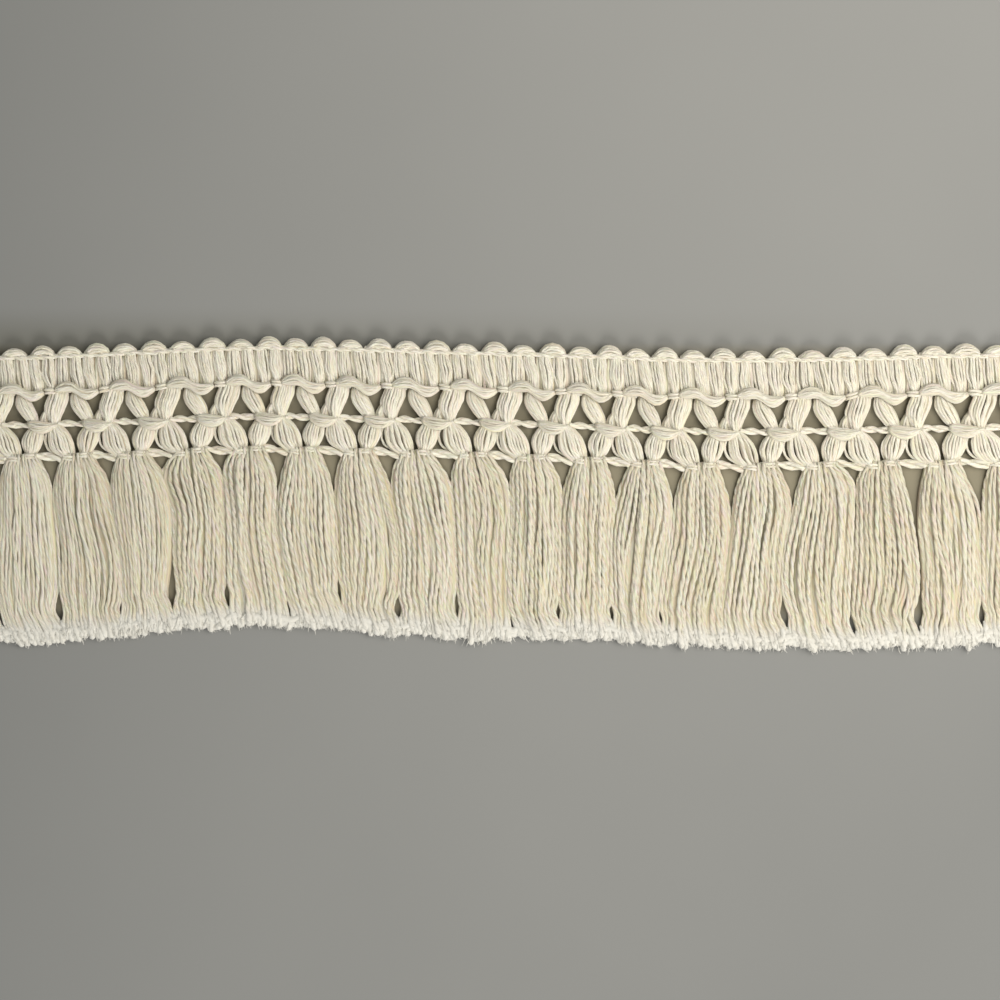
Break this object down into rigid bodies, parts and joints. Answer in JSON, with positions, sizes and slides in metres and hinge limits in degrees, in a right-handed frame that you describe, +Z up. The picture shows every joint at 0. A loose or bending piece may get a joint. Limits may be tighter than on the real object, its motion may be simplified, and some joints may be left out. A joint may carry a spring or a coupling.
{
  "type": "tassel fringe trim",
  "caption": "Cut length of cotton fringe trim lying flat: picot-edged heading, raised wavy braid, openwork row of stars and a fringe of tied tassels.",
  "frame": {"origin": "middle of the trim's length and width, on the table that it lies on", "axes": "+X along the trim, left end to right end as seen from above; +Y across it, from the tassel tips to the picot edge; +Z up, out of the worked face"},
  "size_m": [0.2224, 0.0627, 0.0041],
  "materials": {
    "heading_yarn": "soft matt two-ply cotton, cream",
    "fringe_yarn": "soft matt two-ply cotton, cream, loosely twisted",
    "cut_ends": "frayed cotton fibre, near white"
  },
  "bodies": {
    "root": {"picot_heading": "heading_yarn", "wave_braid": "heading_yarn", "star_lattice": "heading_yarn", "fringe_comb": "fringe_yarn"}
  },
  "joints": []
}
